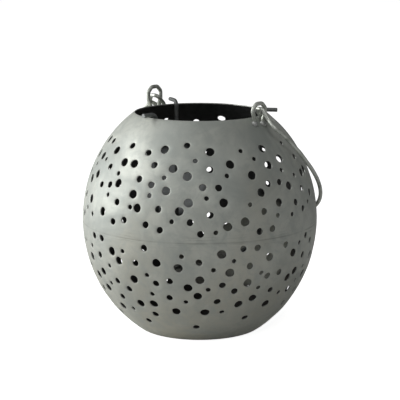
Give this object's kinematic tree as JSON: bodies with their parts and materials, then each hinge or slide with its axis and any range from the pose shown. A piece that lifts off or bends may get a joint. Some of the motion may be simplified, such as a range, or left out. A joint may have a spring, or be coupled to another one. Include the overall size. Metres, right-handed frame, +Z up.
{
  "type": "punched tin lantern",
  "caption": "Round punched tin candle lantern with an open mouth, a swinging wire bail and a lift-out wire cradle with a candle cup.",
  "frame": {"origin": "centre of the flat base, on the surface that the lantern stands on", "axes": "+Z up along the globe's axis; +X along the bail's hinge line towards the near ear, the one on the right of the picture; the bail lies dropped to +Y"},
  "size_m": [0.18, 0.1832, 0.1817],
  "materials": {
    "tin_sheet": "satin tinned sheet, cloudy grey, a little oxidised",
    "tinned_wire": "satin tinned wire",
    "solder": "dull soft solder",
    "cup_tin": "satin drawn tin"
  },
  "bodies": {
    "lantern": {"upper_shell": "tin_sheet", "lower_shell": "tin_sheet", "near_ear": "tinned_wire", "far_ear": "tinned_wire", "near_ear_solder": "solder", "far_ear_solder": "solder"},
    "bail": {"bail_handle": "tinned_wire"},
    "cradle": {"right_cradle_leg": "tinned_wire", "back_cradle_leg": "tinned_wire", "front_cradle_leg": "tinned_wire", "cradle_ring": "tinned_wire", "cradle_welds": "solder", "candle_cup": "cup_tin"}
  },
  "joints": [
    {"name": "bail_hinge", "type": "hinge", "parent": "lantern", "child": "bail", "pos_m": [0, 0.0058, 0.17325], "axis": [1, 0, 0], "range_deg": [0, 261]},
    {"name": "cradle_lift", "type": "slide", "parent": "lantern", "child": "cradle", "axis": [0, 0, 1], "range_m": [0, 0.15]}
  ]
}
